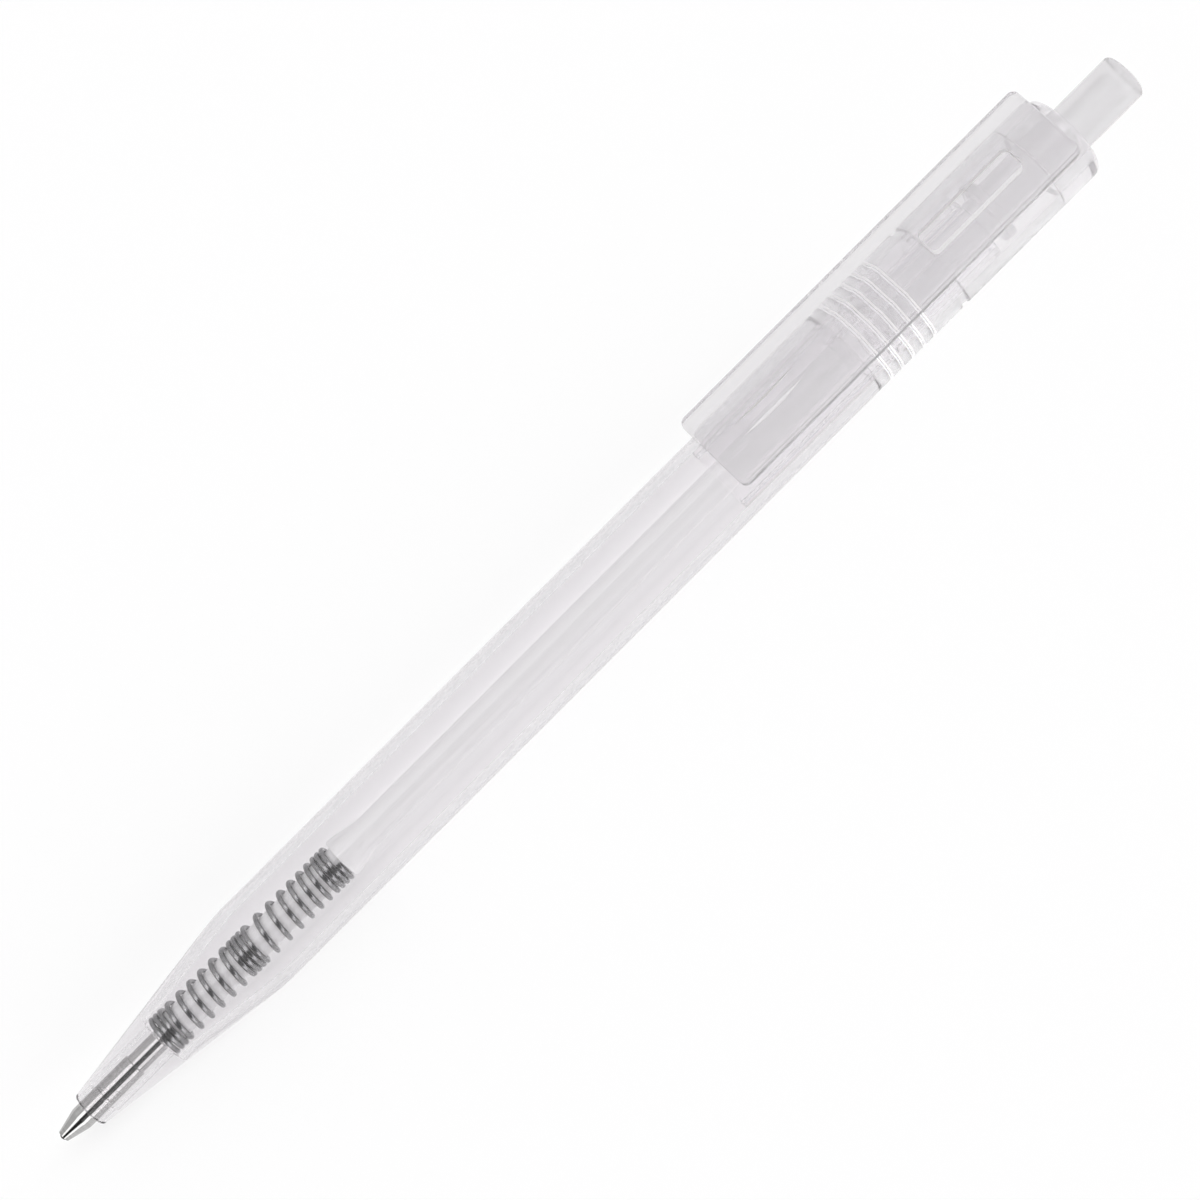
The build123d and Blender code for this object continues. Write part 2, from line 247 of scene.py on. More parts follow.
class PEN_PG_spring(PropertyGroup):
    """Turns and sizes of the return spring."""

    wire: length("Wire", "Diameter of the wire", 0.52)
    front_dead: number("Front dead turns", "Touching turns at the front end", 3.0)
    front_open: number("Front open turns", "Open turns before the middle", 5.8)
    middle_dead: number("Middle dead turns", "Touching turns in the middle", 3.5)
    rear_open: number("Rear open turns", "Open turns behind the middle", 6.9)
    rear_dead: number("Rear dead turns", "Touching turns at the rear end", 3.0)
    phase: degrees("Phase", "Angle of the wire's front end about the axis, from +Y towards +Z", 184.5)
    dead_pitch: length("Dead pitch", "Pitch of the touching turns", 0.585)
    front_pitch: length("Front pitch", "Pitch of the front open turns", 1.44)
    rear_lean: share("Rear lean", "Share by which rear open turns start above and end below their mean", 0.3)
    ease: number("Ease", "Turns before and after each change of pitch over which it happens", 0.35)


class PEN_PG_finish(PropertyGroup):
    """Colours and finishes."""

    front: colour("Front plastic", "Tint that the barrel's surface gives light", (0.93, 0.92, 0.93))
    rear: colour("Rear plastic", "Tint that the rear mouldings' surface gives light", (0.95, 0.94, 0.95))
    # Partly painted shade: the clip's greyer tint also darkens the floor seen through the clip, standing in
    # for the shadow under it.
    clip: colour("Clip plastic", "Tint that the clip's surface gives light", (0.83, 0.82, 0.83))
    button: colour("Button plastic", "Tint that the button's surface gives light", (0.83, 0.82, 0.83))
    inner: colour("Inner plastic", "Tint that the inner mouldings' surface gives light", (1.0, 0.995, 1.0))
    depth: colour("Depth", "Colour that thick plastic takes", (0.5, 0.46, 0.5))
    front_density: number("Front density", "How fast the barrel's plastic darkens, per metre", 60.0)
    rear_density: number("Rear density", "How fast the rear mouldings' plastic darkens, per metre", 40.0)
    inner_density: number("Inner density", "How fast the inner mouldings' plastic darkens, per metre", 20.0)
    front_haze: share("Front haze", "Share of the light that barrel and inner mouldings scatter", 0.03)
    collar_haze: share("Collar haze", "Share of the light that the collar's plastic scatters", 0.1)
    clip_haze: share("Clip haze", "Share of the light that the clip housing's plastic scatters", 0.15)
    button_haze: share("Button haze", "Share of the light that the button's plastic scatters", 0.35)
    rough: share("Roughness", "Greatest roughness of barrel, collar and inner mouldings", 0.02)
    clip_rough: share("Clip roughness", "Greatest roughness of the clip housing and the button", 0.16)
    clip_fade: length("Clip fade", "Height over which the housing's tint passes into the clip's", 1)
    front_ior: number("Front index", "Refractive index of the barrel's plastic", 1.32)
    rear_ior: number("Rear index", "Refractive index of the rear mouldings' plastic", 1.42)
    inner_ior: number("Inner index", "Refractive index of the plastic of button and inner mouldings", 1.15)
    # Painted highlight: pale colour on groove flanks and on the sides of web and rib, standing in for their
    # glints.
    glint_paint: colour("Frosted plastic", "Colour of the faces that the mould leaves matt", (0.96, 0.955, 0.96))
    tube: colour("Milky tube", "Colour of the ink tube", (0.76, 0.75, 0.76))
    ink: colour("Ink", "Colour of the ink", (0.02, 0.02, 0.05))
    point: colour("Point metal", "Colour of the turned point", (0.53, 0.525, 0.52))
    ball: colour("Ball", "Colour of the inked ball", (0.02, 0.02, 0.022))
    wire: colour("Spring wire", "Colour of the spring's wire", (0.28, 0.28, 0.285))


class PEN_PG_stage(PropertyGroup):
    """Camera, light and floor."""

    tilt: degrees("Tilt", "Angle between the camera's line of sight and straight down", 19.5)
    distance: length("Distance", "Distance from the camera to the pen's axis", 286)
    lens: number("Lens", "Focal length in millimetres", 90.0, unit="CAMERA")
    aim: length("Aim", "Distance of the aim point from the pen's middle, towards the button", 0.88)
    floor: colour("Floor", "Colour of the floor", (0.96, 0.955, 0.96))
    floor_glow: share("Floor white", "Share of plain white in the floor that the camera sees", 0.7)
    sky_gap: number("Sky gap", "Light from the gap round the camera", 0.03)
    sky_strip: number("Sky strip", "Light from the two bright strips", 2.3)
    sky_side: number("Sky side", "Light from the rest of the tent", 0.75)
    gap: degrees("Gap", "Angle of the dark gap", 48)
    gap_lean: degrees("Gap lean", "Angle by which the gap lies lower than the camera", 14)
    strip: degrees("Strip", "Angle that each bright strip covers", 22)
    strip_reach: share("Strip reach", "How far the strips reach along the pen, as the sine of an angle", 0.8)
    fade: degrees("Fade", "Angle over which a strip's edge fades", 5)
    lamp: number("Lamp", "Power of each soft lamp in watts", 0.05, unit="POWER")


def rounded(corners, closed=True):
    """Outline through corners (a, b, round): a corner becomes an arc of radius round that touches both sides.
    The arc's centre lies on the corner's bisector, round / sin(half the angle) away. Round 0 is sharp."""
    places = np.array([corner[:2] for corner in corners], float)
    runs = []
    for i, size in enumerate(corner[2] for corner in corners):
        end = not closed and i in (0, len(corners) - 1)
        if size == 0 or end:
            runs.append(places[i : i + 1])
            continue
        back = places[i - 1] - places[i]
        ahead = places[(i + 1) % len(places)] - places[i]
        back = back / np.linalg.norm(back)
        ahead = ahead / np.linalg.norm(ahead)
        half = math.acos(np.clip(back @ ahead, -1, 1)) / 2
        middle = (back + ahead) / np.linalg.norm(back + ahead)
        centre = places[i] + middle * size / math.sin(half)
        first = places[i] + back * size / math.tan(half) - centre
        last = places[i] + ahead * size / math.tan(half) - centre
        sweep = math.pi - 2 * half
        steps = max(ARC_LEAST, math.ceil(sweep / ARC_STEP))
        t = np.linspace(0, 1, steps + 1)[:, None]
        runs.append(centre + (first * np.sin((1 - t) * sweep) + last * np.sin(t * sweep)) / math.sin(sweep))
    return np.vstack(runs)


def placed(station, across, height):
    """Points of the row frame from stations along the pen and offsets from its axis."""
    station, across, height = np.broadcast_arrays(station, across, height)
    return np.stack([NOSE_X + station, across, AXIS_Z + height], axis=-1)


def turned_about(points, angle):
    """The points turned about the pen's axis, from the clip's side towards +Y."""
    across, height = points[..., 1], points[..., 2] - AXIS_Z
    cosine, sine = math.cos(angle), math.sin(angle)
    aside = across * cosine + height * sine
    up = height * cosine - across * sine
    return np.stack([points[..., 0], aside, AXIS_Z + up], axis=-1)


def mesh_object(name, points, faces):
    """A mesh object at the origin with these points and faces, its faces turned outwards."""
    mesh = bpy.data.meshes.new(name)
    mesh.from_pydata(points.reshape(-1, 3).tolist(), [], faces)
    outward(mesh)
    made = bpy.data.objects.new(name, mesh)
    bpy.context.scene.collection.objects.link(made)
    return made


def outward(mesh):
    """Turns the faces of a closed mesh outwards."""
    edit = bmesh.new()
    edit.from_mesh(mesh)
    bmesh.ops.recalc_face_normals(edit, faces=edit.faces)
    edit.to_mesh(mesh)
    edit.free()


def turned(name, outline):
    """Surface of revolution: at angle a the outline's point (s, r) goes to station s, r sin a across and
    r cos a up. An outline with both ends on the axis closes in two poles, and any other closes on itself."""
    angle = np.linspace(0, math.tau, SEGMENTS, endpoint=False)
    poles = outline[0, 1] == 0 and outline[-1, 1] == 0
    rings = outline[1:-1] if poles else outline
    points = placed(rings[:, :1], rings[:, 1:] * np.sin(angle), rings[:, 1:] * np.cos(angle)).reshape(-1, 3)
    index = np.arange(len(points)).reshape(len(rings), SEGMENTS)
    beside = np.roll(index, -1, axis=1)
    quads = np.stack([index, beside, np.roll(beside, -1, axis=0), np.roll(index, -1, axis=0)], axis=-1)
    faces = (quads[:-1] if poles else quads).reshape(-1, 4).tolist()
    if poles:
        ends = placed(outline[[0, -1], 0], 0.0, 0.0)
        for end, ring, after in ((0, index[0], beside[0]), (1, index[-1], beside[-1])):
            pole = np.full(SEGMENTS, len(points) + end)
            faces += np.stack([pole, ring, after], axis=-1).tolist()
        points = np.vstack([points, ends])
    return mesh_object(name, points, faces)


def stacked(name, loops):
    """Solid through like loops of points, one after another, closed by a flat face at each end."""
    rows, columns = loops.shape[:2]
    index = np.arange(rows * columns).reshape(rows, columns)
    beside = np.roll(index, -1, axis=1)
    quads = np.stack([index[:-1], beside[:-1], beside[1:], index[1:]], axis=-1)
    faces = quads.reshape(-1, 4).tolist() + [index[0].tolist(), index[-1].tolist()]
    return mesh_object(name, loops, faces)


def plate(name, start, end, width, low, high, corner, edge=0.0):
    """Slab between two stations and two heights, with rounded corners in plan and quarter-round edges: a loop
    at angle a of the edge is drawn in by edge (1 - sin a) and stands edge (1 - cos a) from the face."""
    angle = np.linspace(0, math.pi / 2, EDGE_LOOPS) if edge else np.zeros(1)
    drawn_in = edge * (1 - np.sin(angle))
    rise = edge * (1 - np.cos(angle))
    insets = np.concatenate([drawn_in, drawn_in[::-1]])
    heights = np.concatenate([low + rise, high - rise[::-1]])
    loops = []
    for inset, height in zip(insets, heights):
        half = width / 2 - inset
        size = max(corner - inset, 0)
        first, last = start + inset, end - inset
        flat = rounded([(first, -half, size), (last, -half, size), (last, half, size), (first, half, size)])
        loops.append(placed(flat[:, 0], flat[:, 1], height))
    return stacked(name, np.array(loops))


def radial_prism(name, outline, low, high, angle):
    """Prism whose outline (station, across) is carried from radius low to radius high, at an angle round the
    pen."""
    outline = np.asarray(outline, float)
    loops = np.array([placed(outline[:, 0], outline[:, 1], height) for height in (low, high)])
    return stacked(name, turned_about(loops, angle))


def combine(base, tools, operation):
    """Joins each tool to the base in turn (UNION) or cuts the base by it (DIFFERENCE), and uses it up."""
    for tool in tools:
        modifier = base.modifiers.new(operation.title(), "BOOLEAN")
        modifier.operation = operation
        modifier.solver = "MANIFOLD"
        modifier.object = tool
        depsgraph = bpy.context.evaluated_depsgraph_get()
        made = bpy.data.meshes.new_from_object(base.evaluated_get(depsgraph))
        base.modifiers.clear()
        old = base.data
        base.data = made
        made.name = base.name
        bpy.data.meshes.remove(old)
        bpy.data.meshes.remove(tool.data)


def dress(piece, node, material, other_body=None):
    """Finishes a piece that stands for a CAD node: smooth but for its creases, in its material, and riding on
    the node's body or, given another body, left where it stands with its place baked into its mesh."""
    record = frame["record"]
    body = next(name for name, nodes in record["behaviour"]["bodies"].items() if node in nodes)
    piece.data.shade_smooth()
    piece.data.set_sharp_from_angle(angle=SMOOTH_BELOW)
    piece.data.materials.clear()
    piece.data.materials.append(material)
    # Light passes through a clear piece: it casts no shadow and stops no diffuse light.
    clear = material.node_tree.nodes["Principled BSDF"].inputs["Transmission Weight"].default_value > 0
    piece.visible_diffuse = not clear
    piece.visible_shadow = not clear
    if other_body:
        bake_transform(piece)
    else:
        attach(piece, body)
    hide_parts(node)


def new_material(name):
    """A fresh node material, with its node tree and its Principled shader."""
    material = bpy.data.materials.new(name)
    material.use_nodes = True
    return material, material.node_tree, material.node_tree.nodes["Principled BSDF"]


def shared_material(name, make):
    """The material of that name, made once for all the pieces that share it."""
    return bpy.data.materials.get(name) or make()


def object_noise(tree, scale, stretch, detail=2.0):
    """Noise over the piece's own space, whose ways are scaled by the three factors of the stretch: the noise
    is drawn out along a way with a small one. Returns the socket of its value."""
    place = tree.nodes.new("ShaderNodeTexCoord")
    mapping = tree.nodes.new("ShaderNodeMapping")
    noise = tree.nodes.new("ShaderNodeTexNoise")
    mapping.inputs["Location"].default_value = (-NOSE_X, 0, -AXIS_Z)
    mapping.inputs["Scale"].default_value = stretch
    noise.inputs["Scale"].default_value = scale
    noise.inputs["Detail"].default_value = detail
    tree.links.new(place.outputs["Object"], mapping.inputs["Vector"])
    tree.links.new(mapping.outputs["Vector"], noise.inputs["Vector"])
    return noise.outputs["Fac"]


def ranged(tree, socket, begin, end, low=0.0, high=1.0):
    """A socket's value from begin to end, carried over to low to high; what lies beyond is held there."""
    carry = tree.nodes.new("ShaderNodeMapRange")
    carry.inputs["From Min"].default_value = begin
    carry.inputs["From Max"].default_value = end
    carry.inputs["To Min"].default_value = low
    carry.inputs["To Max"].default_value = high
    tree.links.new(socket, carry.inputs["Value"])
    return carry.outputs["Result"]


def two_tone(tree, socket, first, second, begin=0.0, end=1.0):
    """Colour that passes from the first to the second as a socket's value goes from begin to end."""
    ramp = tree.nodes.new("ShaderNodeValToRGB")
    for element, place, tint in zip(ramp.color_ramp.elements, (begin, end), (first, second)):
        element.position = place
        element.color = (*tint, 1)
    tree.links.new(socket, ramp.inputs["Fac"])
    return ramp.outputs["Color"]


def reckoned(tree, operation, *terms):
    """A Math node's result from its terms, each a socket or a number."""
    node = tree.nodes.new("ShaderNodeMath")
    node.operation = operation
    for entry, term in zip(node.inputs, terms):
        if isinstance(term, bpy.types.NodeSocket):
            tree.links.new(term, entry)
        else:
            entry.default_value = term
    return node.outputs["Value"]


def greyed(tree, factor, socket, level):
    """A socket's colour, which passes into plain grey of a level as the factor goes from nought to one."""
    mix = tree.nodes.new("ShaderNodeMix")
    mix.data_type = "RGBA"
    mix.inputs["B"].default_value = (level, level, level, 1)
    tree.links.new(factor, mix.inputs["Factor"])
    tree.links.new(socket, mix.inputs["A"])
    return mix.outputs["Result"]


def worked(tree, shader, noise, rough, depth, strength):
    """A surface worked by a noise: its roughness follows the noise between two values, and it is bumped by
    the noise to a depth in metres."""
    tree.links.new(ranged(tree, noise, *NOISE_RANGE, *rough), shader.inputs["Roughness"])
    bumped(tree, shader, noise, depth, strength)


def bumped(tree, shader, noise, depth, strength):
    """A surface bumped by a noise to a depth in metres."""
    bump = tree.nodes.new("ShaderNodeBump")
    bump.inputs["Distance"].default_value = depth
    bump.inputs["Strength"].default_value = strength
    tree.links.new(noise, bump.inputs["Height"])
    tree.links.new(bump.outputs["Normal"], shader.inputs["Normal"])


def clear_plastic(name, tint, density, haze, index, rough):
    """Clear moulded plastic: glass with a faint tint that deepens with thickness, soft ripples from the mould
    and a gloss that varies a little."""
    material, tree, shader = new_material(name)
    shader.inputs["Base Color"].default_value = (*tint, 1)
    shader.inputs["Transmission Weight"].default_value = 1 - haze
    shader.inputs["IOR"].default_value = index
    gloss = object_noise(tree, scale=900, stretch=(0.3, 1, 1))
    tree.links.new(ranged(tree, gloss, *NOISE_RANGE, rough / 3, rough), shader.inputs["Roughness"])
    ripple = object_noise(tree, scale=160, stretch=(0.35, 1, 1))
    bumped(tree, shader, ripple, depth=0.01 * MM, strength=0.025)
    thick = tree.nodes.new("ShaderNodeVolumeAbsorption")
    thick.inputs["Color"].default_value = (*bpy.context.scene.pen_finish.depth, 1)
    thick.inputs["Density"].default_value = density
    tree.links.new(thick.outputs["Volume"], tree.nodes["Material Output"].inputs["Volume"])
    return material


def front_plastic():
    """The clear plastic of the front barrel."""
    finish = bpy.context.scene.pen_finish
    return clear_plastic(
        "moulded_front", finish.front, finish.front_density, finish.front_haze, finish.front_ior,
        finish.rough)


def rear_plastic():
    """The clear plastic of the collar."""
    finish = bpy.context.scene.pen_finish
    return clear_plastic(
        "moulded_rear", finish.rear, finish.rear_density, finish.collar_haze, finish.rear_ior, finish.rough)


def clip_plastic_and_shade():
    """The clear plastic of the housing, greyer from the barrel's height upwards, where the clip is: partly
    the clip's own tint and partly painted shade, darkening what shows through the clip as the shadow under it
    would.
    """
    finish = bpy.context.scene.pen_finish
    material = clear_plastic(
        "moulded_clip_and_shade", finish.rear, finish.rear_density, finish.clip_haze, finish.rear_ior,
        finish.clip_rough)
    tree = material.node_tree
    place = tree.nodes.new("ShaderNodeTexCoord")
    split = tree.nodes.new("ShaderNodeSeparateXYZ")
    tree.links.new(place.outputs["Object"], split.inputs["Vector"])
    # Partly painted shade: from here upwards the tint greys, standing in for the shadow under the clip that
    # shows through it.
    foot = AXIS_Z + span("barrel")[2]
    rise = ranged(tree, split.outputs["Z"], foot, foot + finish.clip_fade)
    tint = two_tone(tree, rise, finish.rear, finish.clip)
    tree.links.new(tint, tree.nodes["Principled BSDF"].inputs["Base Color"])
    return material


def button_plastic():
    """The clear plastic of the button, hazier than the rest."""
    finish = bpy.context.scene.pen_finish
    return clear_plastic(
        "moulded_button", finish.button, finish.rear_density, finish.button_haze, finish.inner_ior,
        finish.clip_rough)


def inner_plastic():
    """The clear plastic of the sleeve and rotor inside."""
    finish = bpy.context.scene.pen_finish
    return clear_plastic(
        "moulded_inner", finish.inner, finish.inner_density, finish.front_haze, finish.inner_ior,
        finish.rough)


def grained(name, tint, scale, rough, depth, stretch=(1, 1, 1)):
    """Opaque stuff of one colour, with a grain in its gloss and its surface."""
    material, tree, shader = new_material(name)
    shader.inputs["Base Color"].default_value = (*tint, 1)
    grain = object_noise(tree, scale, stretch)
    worked(tree, shader, grain, rough, depth, strength=0.4)
    return material


def painted_glint_plastic():
    """Pale matt plastic with a fine grain: a painted highlight, standing in for the glints on the grooves'
    flanks and on the sides of web and rib.
    """
    tint = bpy.context.scene.pen_finish.glint_paint
    return grained("painted_glint_faces", tint, scale=2500, rough=(0.35, 0.6), depth=0.01 * MM)


def milky_plastic():
    """Milky extruded plastic: a waxy sheen, with fine lines along the tube."""
    tint = bpy.context.scene.pen_finish.tube
    return grained(
        "extruded_milky", tint, scale=2500, rough=(0.22, 0.38), depth=0.01 * MM, stretch=(0.02, 1, 1))


def ink_paste():
    """Dark wet paste, with slightly uneven gloss."""
    tint = bpy.context.scene.pen_finish.ink
    return grained("wet_paste", tint, scale=700, rough=(0.08, 0.3), depth=0.02 * MM)


def metal(name, tint, scale, rough, depth, stretch=(1, 1, 1)):
    """Worked metal: fine tool lines in its colour, gloss and surface, along the ways of a small stretch."""
    material, tree, shader = new_material(name)
    shader.inputs["Metallic"].default_value = 1
    lines = object_noise(tree, scale, stretch, detail=4)
    dark = [LINE_SHADE * part for part in tint]
    tree.links.new(two_tone(tree, lines, dark, tint, *NOISE_RANGE), shader.inputs["Base Color"])
    worked(tree, shader, lines, rough, depth, strength=0.5)
    return material


def turned_metal():
    """Bright metal of the point, with lines turned round it."""
    tint = bpy.context.scene.pen_finish.point
    return metal(
        "turned_nickel_silver", tint, scale=5000, rough=(0.07, 0.16), depth=0.004 * MM,
        stretch=(1, 0.06, 0.06))


def ground_metal():
    """Dark metal of the inked ball, ground fine."""
    tint = bpy.context.scene.pen_finish.ball
    return metal("ground_carbide", tint, scale=9000, rough=(0.1, 0.25), depth=0.003 * MM)


def drawn_metal():
    """Steel of the spring's drawn wire."""
    tint = bpy.context.scene.pen_finish.wire
    return metal("drawn_wire", tint, scale=3000, rough=(0.08, 0.18), depth=0.004 * MM)


def paint_glints(piece, chosen):
    """Makes the faces pale and matt for which chosen(station, across, height) is true at their centres: a
    painted highlight for their glints.
    """
    mesh = piece.data
    mesh.materials.append(shared_material("painted_glint_faces", painted_glint_plastic))
    centre = np.empty(3 * len(mesh.polygons))
    mesh.polygons.foreach_get("center", centre)
    station, across, height = (centre.reshape(-1, 3) - (NOSE_X, 0, AXIS_Z)).T
    mesh.polygons.foreach_set("material_index", chosen(station, across, height).astype(np.int32))


class PEN_OT_barrel(Operator):
    """Clear front tube with its tapered nose"""

    bl_idname = "pen.make_barrel"
    bl_label = "Barrel"

    def execute(self, context):
        size = context.scene.pen_barrel
        start, end, radius = span("barrel")
        bore = radius - size.wall
        pocket_end = size.seat + size.pocket_length
        outline = rounded([
            (start, size.tip_hole, size.edge / 2),
            (start, size.nose_radius, size.nose_edge),
            (start + size.nose_length, radius, size.shoulder),
            (end, radius, size.edge),
            (end, bore, size.edge / 2),
            (start + size.nose_length + size.wall, bore, size.shoulder / 4),
            (pocket_end, size.pocket, size.wall),
            (size.seat, size.pocket, size.edge / 2),
            (size.seat, size.relief, size.edge / 2),
            (size.tip_land, size.relief, size.edge / 4),
            (size.tip_land, size.tip_hole, size.edge / 4),
        ])
        dress(turned("clear_barrel", outline), "barrel", front_plastic())
        return {"FINISHED"}


def locating_key(name, clearance):
    """The small key between housing and collar, grown by a clearance for the notch that takes it."""
    size = bpy.context.scene.pen_collar
    _, joint, radius = span("grooved_collar")
    band = radius - size.step_depth
    half = size.key_width / 2 + clearance
    first, last = joint - size.key_length - clearance, joint + size.key_length
    outline = [(first, -half), (last, -half), (last, half), (first, half)]
    low, high = band - size.key_depth - clearance, band - size.key_sink + 2 * clearance
    return radial_prism(name, outline, low, high, size.key_angle)


class PEN_OT_collar(Operator):
    """Clear grooved ring between barrel and housing"""

    bl_idname = "pen.make_collar"
    bl_label = "Grooved collar"

    def execute(self, context):
        size = context.scene.pen_collar
        start, end, radius = span("grooved_collar")
        bore = radius - context.scene.pen_barrel.wall
        edge = context.scene.pen_barrel.edge
        corners = [(start, bore, edge / 2), (start, radius, edge)]
        middles = start + size.first + size.pitch * np.arange(size.grooves)
        half = size.groove_width / 2
        for middle in middles:
            corners += [
                (middle - half, radius, edge / 2),
                (middle, radius - size.groove_depth, edge / 2),
                (middle + half, radius, edge / 2),
            ]
        step = end - size.step_width
        band = radius - size.step_depth
        corners += [
            (step, radius, edge / 2),
            (step, band, edge / 2),
            (end, band, edge / 2),
            (end, bore, edge / 2),
        ]
        ring = turned("clear_collar", rounded(corners))
        combine(ring, [locating_key("notch", size.notch_gap)], "DIFFERENCE")
        dress(ring, "grooved_collar", rear_plastic())

        def glint_flanks(station, across, height):
            """Sides of the grooves, painted pale as a highlight for their glints: within their stations and
            between two shares of their depth.
            """
            depth = (radius - np.hypot(across, height)) / size.groove_depth
            within = (station > middles[0] - 2 * half) & (station < middles[-1] + 2 * half)
            return within & (depth > size.glint_from) & (depth < size.glint_to)

        # The grooves' flanks get a painted highlight.
        paint_glints(ring, glint_flanks)
        return {"FINISHED"}


class PEN_OT_housing(Operator):
    """Clear rear sleeve with its pocket clip, in one moulding"""

    bl_idname = "pen.make_housing"
    bl_label = "Clip housing"

    def execute(self, context):
        size = context.scene.pen_housing
        edge = context.scene.pen_barrel.edge
        clip_start, end, radius = span("clip_housing")
        start = span("grooved_collar")[1]
        bore = radius - context.scene.pen_barrel.wall
        hole = context.scene.pen_mechanism.button_radius + size.hole_gap
        guide = end - size.guide_length
        sleeve = turned("clear_housing", rounded([
            (start, bore, edge / 2),
            (start, radius, edge),
            (end, radius, size.top_round),
            (end, hole, edge),
            (guide, hole, edge / 2),
            (guide, bore, edge * 2),
        ]))
        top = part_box("clip_housing")[1].z - AXIS_Z
        bottom = top - size.clip_thickness
        middle = (top + bottom) / 2
        clip = plate(
            "clip", clip_start, end - size.clip_setback, size.clip_width, bottom, top, size.clip_corner,
            size.clip_edge)
        web_end = start + size.web_length
        web = plate("web", start, web_end, size.web_width, (radius + bore) / 2, middle, size.web_corner)
        rib = self.gripping_rib(size, clip_start + size.rib_setback, radius + size.rib_gap, bottom, middle)
        combine(sleeve, [web, clip, rib, locating_key("key", 0.0)], "UNION")
        dress(sleeve, "clip_housing", clip_plastic_and_shade())

        def sides(station, across, height):
            """Upright faces of web and rib, between sleeve and clip, painted pale as a highlight for their
            glints.
            """
            of_rib = np.abs(np.abs(across) - size.rib_width / 2) < FLAT
            of_web = np.abs(across) < size.web_width / 2 + FLAT
            of_web &= (station > start - FLAT) & (station < web_end + FLAT)
            return (height > radius) & (height < bottom - FLAT) & (of_rib | of_web)

        # The sides of web and rib get a painted highlight.
        paint_glints(sleeve, sides)
        return {"FINISHED"}

    def gripping_rib(self, size, start, low, bottom, root):
        """Bowed rib: its lower edge is the arc through both ends at the clip and the lowest point between."""
        half = size.rib_length / 2
        drop = bottom - low
        bow = (half**2 + drop**2) / (2 * drop)
        t = np.linspace(-1, 1, BOW_POINTS) * math.asin(half / bow)
        station = start + half + bow * np.sin(t)
        height = low + bow * (1 - np.cos(t))
        station = np.concatenate([station, station[[-1, 0]]])
        height = np.concatenate([height, [root, root]])
        sides = [placed(station, across, height) for across in (-size.rib_width / 2, size.rib_width / 2)]
        return stacked("rib", np.array(sides))


def ring_of(copies, make, start_angle=0.0):
    """Copies of a tool spaced evenly round the pen; make gets each one's angle."""
    return [make(start_angle + math.tau * i / copies) for i in range(copies)]


class PEN_OT_sleeve(Operator):
    """Clear inner sleeve with the guide ribs that button and rotor run between"""

    bl_idname = "pen.make_sleeve"
    bl_label = "Guide sleeve"

    def execute(self, context):
        size = context.scene.pen_mechanism
        edge = context.scene.pen_barrel.edge
        start, end, radius = span("guide_sleeve")
        bore = radius - size.sleeve_wall
        inner = bore - size.rib_height
        sleeve = turned("clear_sleeve", rounded([
            (start, bore, edge),
            (start, radius, edge),
            (end, radius, edge),
            (end, inner, edge),
            (size.rib_start, inner, 0),
            (size.rib_start, bore, 0),
        ]))
        low, high = inner * CUTTER_FOOT, bore - SLIVER
        front, back = size.rib_start - OVERRUN, end + OVERRUN
        half = size.slot_width / 2
        slot = [(front, -half), (back, -half), (back, half), (front, half)]
        slots = ring_of(size.keys, lambda angle: radial_prism("slot", slot, low, high, angle))
        half = bore * math.sin(math.pi / size.keys)
        crest = size.rib_start + size.cam_rise
        saw = [
            (front, -half),
            (size.rib_start, -half),
            (crest, 0),
            (size.rib_start, 0),
            (crest, half),
            (front, half),
        ]
        between = math.pi / size.keys
        saws = ring_of(size.keys, lambda angle: radial_prism("saw", saw, low, high, angle), between)
        combine(sleeve, slots + saws, "DIFFERENCE")
        dress(sleeve, "guide_sleeve", shared_material("moulded_inner", inner_plastic))
        return {"FINISHED"}


def crown_notch(station, way, angle):
    """V notch between two crown teeth, cut from the axis outwards. Its mouth is at the station, and it
    deepens towards the rear for a way of 1 and towards the front for -1."""
    size = bpy.context.scene.pen_mechanism
    half = math.pi * size.plunger_radius / size.teeth
    rise = way * size.tooth_height
    past, foot = station - rise, station + rise
    outline = [(past, -2 * half), (station, -half), (foot, 0), (station, half), (past, 2 * half)]
    return radial_prism("notch", outline, 0.0, size.key_radius, angle)


def key_block(first, last, drop, angle):
    """One key on the plunger or rotor: a block whose rear end slants by drop across its width. Its root
    reaches into a third of the plunger's wall."""
    size = bpy.context.scene.pen_mechanism
    half = size.key_width / 2
    root = size.plunger_radius - size.button_wall / 3
    outline = [(first, -half), (last - drop, -half), (last, half), (first, half)]
    return radial_prism("key", outline, root, size.key_radius, angle)


class PEN_OT_button(Operator):
    """Clear push button with its flange, guide keys and toothed crown"""

    bl_idname = "pen.make_button"
    bl_label = "Push button"

    def execute(self, context):
        size = context.scene.pen_mechanism
        edge = context.scene.pen_barrel.edge
        _, end, flange = span("push_button")
        start = size.rib_start + size.key_clearance
        bore = size.plunger_radius - size.button_wall
        flange_end = size.flange_start + size.flange_thickness
        body = turned("clear_button", rounded([
            (end, 0, 0),
            (end, size.button_radius, size.button_edge),
            (flange_end, size.button_radius, edge),
            (flange_end, flange, edge),
            (size.flange_start, flange, edge),
            (size.flange_start, size.plunger_radius, edge),
            (start, size.plunger_radius, 0),
            (start, bore, 0),
            (end - size.button_cap, bore, edge * 3),
            (end - size.button_cap, 0, 0),
        ], closed=False))
        first = start + 2 * size.tooth_height
        keys = ring_of(size.keys, lambda angle: key_block(first, first + size.button_key_length, 0, angle))
        notches = ring_of(size.teeth, lambda angle: crown_notch(start, 1, angle))
        combine(body, keys, "UNION")
        combine(body, notches, "DIFFERENCE")
        dress(body, "push_button", button_plastic())
        return {"FINISHED"}


